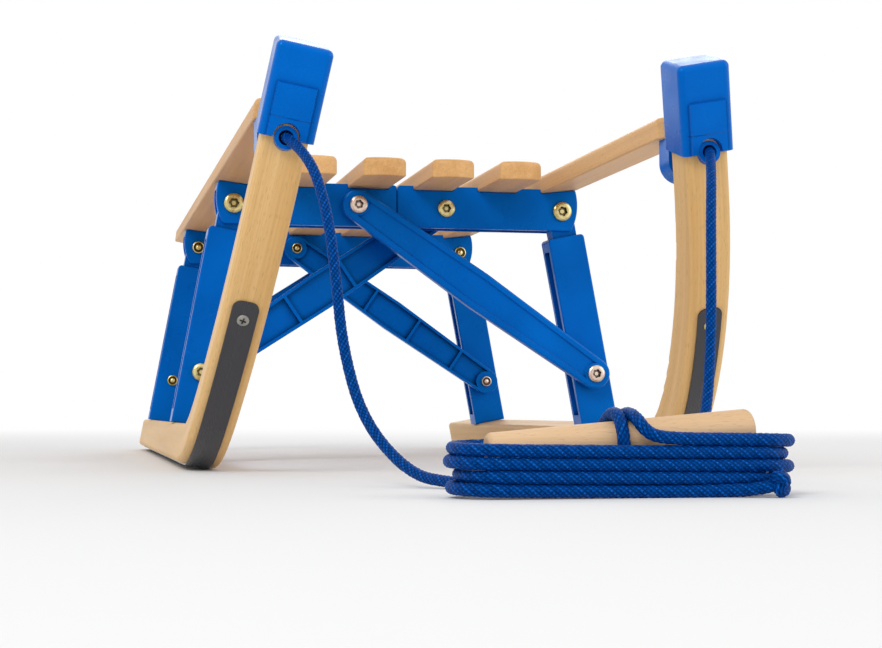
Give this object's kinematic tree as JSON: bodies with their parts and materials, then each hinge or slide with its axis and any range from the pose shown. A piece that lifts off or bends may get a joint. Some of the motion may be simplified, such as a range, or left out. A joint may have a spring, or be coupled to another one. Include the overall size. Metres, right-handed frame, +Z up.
{
  "type": "folding wooden sled",
  "caption": "Folding wooden sled: bent beech runners with dark strips, slatted seat on blue plastic folding trestles, capped horns, braided pull rope with a wooden handle.",
  "frame": {"origin": "on the floor under the middle of the sled's bounding box, rope left out", "axes": "+Z up, +Y towards the rear with the horns at -Y, +X across to the sled's right side as seen from the front"},
  "size_m": [0.3612, 1.0703, 0.2623],
  "materials": {
    "seat_wood": "clear satin lacquer on beech",
    "runner_wood": "clear satin lacquer on bent beech",
    "handle_wood": "turned beech, bare",
    "blue_plastic": "moulded, satin gloss",
    "strip": "dark extruded strip, satin",
    "zinc_bolts": "yellow zinc plating",
    "rope": "braided polypropylene"
  },
  "bodies": {
    "left_runner": {"runner_left": "runner_wood", "runner_strip_left": "strip", "horn_cap_left": "blue_plastic", "leg_front_left": "blue_plastic", "leg_rear_left": "blue_plastic", "foot_nut_front_aft": "zinc_bolts", "foot_nut_rear_aft": "zinc_bolts"},
    "left_deck": {"half_beam_front_left": "blue_plastic", "half_beam_rear_left": "blue_plastic", "slat_left_inner": "seat_wood", "slat_left_middle": "seat_wood", "slat_left_outer": "seat_wood", "horn_hinge_left": "blue_plastic", "rope_end_left": "rope", "leg_bolt_front_left": "zinc_bolts", "leg_bolt_rear_left": "zinc_bolts", "stay_bolt_front_left": "zinc_bolts", "stay_bolt_rear_left": "zinc_bolts"},
    "right_deck": {"half_beam_front_right": "blue_plastic", "half_beam_rear_right": "blue_plastic", "slat_right_inner": "seat_wood", "slat_right_middle": "seat_wood", "slat_right_outer": "seat_wood", "horn_hinge_right": "blue_plastic", "rope_end_right": "rope", "leg_bolt_front_right": "zinc_bolts", "leg_bolt_rear_right": "zinc_bolts", "stay_bolt_front_right": "zinc_bolts", "stay_bolt_rear_right": "zinc_bolts", "centre_pin_front": "zinc_bolts", "centre_pin_rear": "zinc_bolts"},
    "right_runner": {"runner_right": "runner_wood", "runner_strip_right": "strip", "horn_cap_right": "blue_plastic", "leg_front_right": "blue_plastic", "leg_rear_right": "blue_plastic", "foot_nut_front_fore": "zinc_bolts", "foot_nut_rear_fore": "zinc_bolts"},
    "stay_front_fore": {"stay_front_fore": "blue_plastic", "foot_bolt_front_fore": "zinc_bolts"},
    "stay_front_aft": {"stay_front_aft": "blue_plastic", "foot_bolt_front_aft": "zinc_bolts"},
    "stay_rear_fore": {"stay_rear_fore": "blue_plastic", "foot_bolt_rear_fore": "zinc_bolts"},
    "stay_rear_aft": {"stay_rear_aft": "blue_plastic", "foot_bolt_rear_aft": "zinc_bolts"},
    "tow_rope": {"rope_left": "rope", "rope_knot": "rope"},
    "handle": {"pull_handle": "handle_wood", "rope_lashing": "rope", "rope_hank": "rope"},
    "rope_right": {"rope_right": "rope"}
  },
  "joints": [
    {"name": "fold", "type": "hinge", "parent": "left_runner", "child": "left_deck", "pos_m": [-0.131, -0.06952, 0.19933], "axis": [0, -1, 0], "range_deg": [0, 78.01]},
    {"name": "centre_fold", "type": "hinge", "parent": "left_deck", "child": "right_deck", "pos_m": [0, -0.06952, 0.18133], "axis": [0, 1, 0], "range_deg": [0, 176.02]},
    {"name": "fold_right", "type": "hinge", "parent": "right_deck", "child": "right_runner", "pos_m": [0.131, -0.06952, 0.19933], "axis": [0, -1, 0], "range_deg": [0, 78.03]},
    {"name": "stay_front_fore_turn", "type": "hinge", "parent": "left_deck", "child": "stay_front_fore", "pos_m": [-0.036, -0.08952, 0.19933], "axis": [0, 1, 0], "range_deg": [0, 133.11]},
    {"name": "stay_front_aft_turn", "type": "hinge", "parent": "right_deck", "child": "stay_front_aft", "pos_m": [0.036, -0.04952, 0.19933], "axis": [0, -1, 0], "range_deg": [0, 133.11]},
    {"name": "stay_rear_fore_turn", "type": "hinge", "parent": "left_deck", "child": "stay_rear_fore", "pos_m": [-0.036, 0.27648, 0.19933], "axis": [0, 1, 0], "range_deg": [0, 133.11]},
    {"name": "stay_rear_aft_turn", "type": "hinge", "parent": "right_deck", "child": "stay_rear_aft", "pos_m": [0.036, 0.31648, 0.19933], "axis": [0, -1, 0], "range_deg": [0, 133.11]},
    {"name": "tow_rope_turn", "type": "hinge", "parent": "left_runner", "child": "tow_rope", "pos_m": [-0.131, -0.40577, 0.19933], "axis": [0, 0, -1], "range_deg": [0, 37.29]},
    {"name": "rope_right_turn", "type": "hinge", "parent": "right_runner", "child": "rope_right", "pos_m": [0.131, -0.40577, 0.19933], "axis": [0, 0, 1], "range_deg": [0, 37.29]},
    {"name": "handle_turn", "type": "hinge", "parent": "tow_rope", "child": "handle", "pos_m": [0, -0.59577, 0.008], "axis": [0, 0, 1], "range_deg": [0, 37.29]}
  ],
  "couplings": [
    {"joint": "centre_fold", "follows": "fold", "ratio": 2.2562},
    {"joint": "fold_right", "follows": "fold", "ratio": 1},
    {"joint": "stay_front_fore_turn", "follows": "fold", "ratio": 1.7061},
    {"joint": "stay_front_aft_turn", "follows": "fold", "ratio": 1.7061},
    {"joint": "stay_rear_fore_turn", "follows": "fold", "ratio": 1.7061},
    {"joint": "stay_rear_aft_turn", "follows": "fold", "ratio": 1.7061},
    {"joint": "tow_rope_turn", "follows": "fold", "ratio": 0.47774},
    {"joint": "rope_right_turn", "follows": "fold", "ratio": 0.47774},
    {"joint": "handle_turn", "follows": "fold", "ratio": 0.47774}
  ]
}
